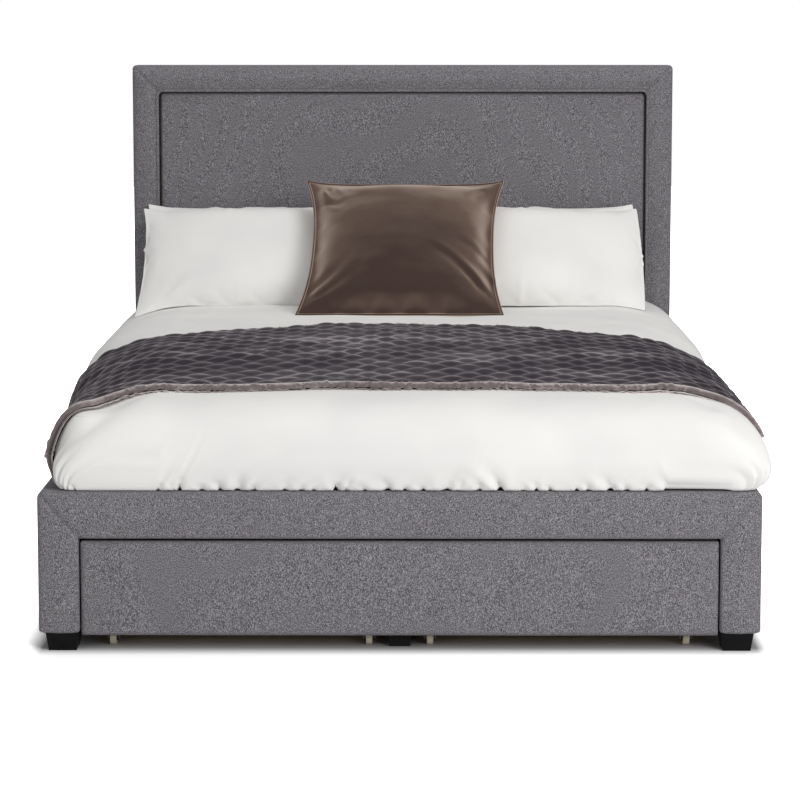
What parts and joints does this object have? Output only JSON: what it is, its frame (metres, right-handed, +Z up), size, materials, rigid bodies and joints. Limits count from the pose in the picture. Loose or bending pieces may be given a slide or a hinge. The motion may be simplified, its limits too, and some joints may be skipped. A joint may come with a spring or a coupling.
{
  "type": "platform bed with storage drawer",
  "caption": "Upholstered platform bed with a high bordered headboard, sprung slats, a wide drawer on castors under the foot end, and made-up bedding.",
  "frame": {"origin": "on the floor, at the centre of the bed's footprint", "axes": "+X to the right seen from the foot of the bed, +Y towards the headboard along the bed's length, +Z up"},
  "size_m": [1.6986, 2.16, 1.28],
  "materials": {
    "grey_chenille": "woven chenille, matt",
    "plywood": "raw plywood",
    "pine": "planed softwood",
    "birch_slat": "laminated birch, clear lacquer",
    "dust_cover": "non-woven, matt",
    "black_lacquer": "satin lacquer",
    "black_plastic": "moulded, matt",
    "black_steel": "powder coated",
    "zinc_steel": "zinc plated",
    "cream_nylon": "moulded nylon",
    "mattress_ticking": "knitted ticking",
    "white_cotton": "smooth cotton",
    "quilted_velvet": "quilted velvet",
    "brown_velvet": "plain velvet"
  },
  "bodies": {
    "bed": {"headboard_border_left": "grey_chenille", "headboard_border_right": "grey_chenille", "headboard_border_top": "grey_chenille", "headboard_panel": "grey_chenille", "headboard_piping": "grey_chenille", "headboard_lower_panel": "grey_chenille", "headboard_board": "plywood", "headboard_frame": "pine", "headboard_back_cover": "dust_cover", "side_rail_right": "pine", "side_rail_left": "pine", "side_cover_right": "grey_chenille", "side_cover_left": "grey_chenille", "ledger_right": "pine", "ledger_left": "pine", "foot_frame": "pine", "foot_cover_left": "grey_chenille", "foot_cover_right": "grey_chenille", "foot_cover_top": "grey_chenille", "corner_feet": "black_lacquer", "centre_rail": "pine", "centre_legs": "black_lacquer", "centre_rail_hangers": "black_steel", "slats_right": "birch_slat", "slats_left": "birch_slat", "slat_holders_side": "black_plastic", "slat_holders_centre": "black_plastic", "rail_brackets": "black_steel", "bed_bolts": "zinc_steel", "mattress": "mattress_ticking", "duvet": "white_cotton", "throw": "quilted_velvet", "pillow_front_left": "white_cotton", "pillow_front_right": "white_cotton", "pillow_back_left": "white_cotton", "pillow_back_right": "white_cotton", "cushion": "brown_velvet"},
    "drawer": {"drawer_front_board": "pine", "drawer_front_cover": "grey_chenille", "box_sides_right": "plywood", "box_sides_left": "plywood", "box_front_right": "plywood", "box_front_left": "plywood", "box_back_right": "plywood", "box_back_left": "plywood", "box_base_right": "plywood", "box_base_left": "plywood", "castor_brackets": "black_steel", "castor_axles": "zinc_steel"},
    "wheel_front_left_inner": {"wheel_front_left_inner": "cream_nylon"},
    "wheel_front_left_outer": {"wheel_front_left_outer": "cream_nylon"},
    "wheel_front_right_inner": {"wheel_front_right_inner": "cream_nylon"},
    "wheel_front_right_outer": {"wheel_front_right_outer": "cream_nylon"},
    "wheel_back_left_inner": {"wheel_back_left_inner": "cream_nylon"},
    "wheel_back_left_outer": {"wheel_back_left_outer": "cream_nylon"},
    "wheel_back_right_inner": {"wheel_back_right_inner": "cream_nylon"},
    "wheel_back_right_outer": {"wheel_back_right_outer": "cream_nylon"}
  },
  "joints": [
    {"name": "drawer_slide", "type": "slide", "parent": "bed", "child": "drawer", "axis": [0, -1, 0], "range_m": [0, 0.7]},
    {"name": "wheel_front_left_inner_spin", "type": "hinge", "parent": "drawer", "child": "wheel_front_left_inner", "pos_m": [-0.069, -1.002, 0.0175], "axis": [1, 0, 0], "range_deg": [0, 2292]},
    {"name": "wheel_front_left_outer_spin", "type": "hinge", "parent": "drawer", "child": "wheel_front_left_outer", "pos_m": [-0.649, -1.002, 0.0175], "axis": [1, 0, 0], "range_deg": [0, 2292]},
    {"name": "wheel_front_right_inner_spin", "type": "hinge", "parent": "drawer", "child": "wheel_front_right_inner", "pos_m": [0.069, -1.002, 0.0175], "axis": [1, 0, 0], "range_deg": [0, 2292]},
    {"name": "wheel_front_right_outer_spin", "type": "hinge", "parent": "drawer", "child": "wheel_front_right_outer", "pos_m": [0.649, -1.002, 0.0175], "axis": [1, 0, 0], "range_deg": [0, 2292]},
    {"name": "wheel_back_left_inner_spin", "type": "hinge", "parent": "drawer", "child": "wheel_back_left_inner", "pos_m": [-0.069, -0.314, 0.0175], "axis": [1, 0, 0], "range_deg": [0, 2292]},
    {"name": "wheel_back_left_outer_spin", "type": "hinge", "parent": "drawer", "child": "wheel_back_left_outer", "pos_m": [-0.649, -0.314, 0.0175], "axis": [1, 0, 0], "range_deg": [0, 2292]},
    {"name": "wheel_back_right_inner_spin", "type": "hinge", "parent": "drawer", "child": "wheel_back_right_inner", "pos_m": [0.069, -0.314, 0.0175], "axis": [1, 0, 0], "range_deg": [0, 2292]},
    {"name": "wheel_back_right_outer_spin", "type": "hinge", "parent": "drawer", "child": "wheel_back_right_outer", "pos_m": [0.649, -0.314, 0.0175], "axis": [1, 0, 0], "range_deg": [0, 2292]}
  ],
  "couplings": [
    {"joint": "wheel_front_left_inner_spin", "follows": "drawer_slide", "rad_per_m": 57.143},
    {"joint": "wheel_front_left_outer_spin", "follows": "drawer_slide", "rad_per_m": 57.143},
    {"joint": "wheel_front_right_inner_spin", "follows": "drawer_slide", "rad_per_m": 57.143},
    {"joint": "wheel_front_right_outer_spin", "follows": "drawer_slide", "rad_per_m": 57.143},
    {"joint": "wheel_back_left_inner_spin", "follows": "drawer_slide", "rad_per_m": 57.143},
    {"joint": "wheel_back_left_outer_spin", "follows": "drawer_slide", "rad_per_m": 57.143},
    {"joint": "wheel_back_right_inner_spin", "follows": "drawer_slide", "rad_per_m": 57.143},
    {"joint": "wheel_back_right_outer_spin", "follows": "drawer_slide", "rad_per_m": 57.143}
  ]
}
